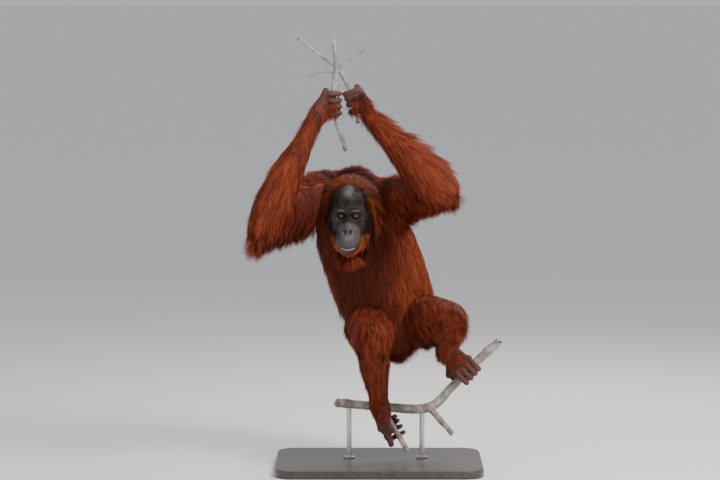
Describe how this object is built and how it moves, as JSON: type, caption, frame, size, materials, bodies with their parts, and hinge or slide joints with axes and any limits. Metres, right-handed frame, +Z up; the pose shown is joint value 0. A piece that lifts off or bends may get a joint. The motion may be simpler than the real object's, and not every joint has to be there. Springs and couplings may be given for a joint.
{
  "type": "orangutan display model on a branch stand",
  "caption": "Life-size still model of a red-haired orangutan climbing: raised hands on an upright forked stem, feet on a forked branch, held by short rods on a flat base",
  "frame": {"origin": "centre of the base's underside", "axes": "+Z up, -Y the way the face looks, +X to the animal's left"},
  "size_m": [0.784, 0.5439, 1.297],
  "materials": {
    "coat": "long straight hair, deep red-brown with orange ends",
    "face_skin": "bare dark grey-brown skin, slightly shiny",
    "limb_skin": "bare dark purplish-brown skin",
    "eye": "wet dark brown",
    "bark": "pale grey bark with brown patches",
    "base": "dark satin lacquered board",
    "rod": "brushed"
  },
  "bodies": {
    "root": {"head": "face_skin", "ear_right": "face_skin", "eye_right": "eye", "ear_left": "face_skin", "eye_left": "eye", "neck": "coat", "torso_upper": "coat", "torso_lower": "coat", "upper_arm_right": "coat", "forearm_right": "coat", "hand_right": "limb_skin", "finger_right_thumb": "limb_skin", "finger_right_index": "limb_skin", "finger_right_middle": "limb_skin", "finger_right_ring": "limb_skin", "finger_right_little": "limb_skin", "upper_arm_left": "coat", "forearm_left": "coat", "hand_left": "limb_skin", "finger_left_thumb": "limb_skin", "finger_left_index": "limb_skin", "finger_left_middle": "limb_skin", "finger_left_ring": "limb_skin", "finger_left_little": "limb_skin", "thigh_right": "coat", "shin_right": "coat", "foot_right": "limb_skin", "toe_right_big": "limb_skin", "toe_right_second": "limb_skin", "toe_right_third": "limb_skin", "toe_right_fourth": "limb_skin", "toe_right_fifth": "limb_skin", "thigh_left": "coat", "shin_left": "coat", "foot_left": "limb_skin", "toe_left_big": "limb_skin", "toe_left_second": "limb_skin", "toe_left_third": "limb_skin", "toe_left_fourth": "limb_skin", "toe_left_fifth": "limb_skin", "perch_stem": "bark", "perch_branch": "bark", "stand_base": "base", "stand_rod_right": "rod", "stand_rod_left": "rod"}
  },
  "joints": []
}
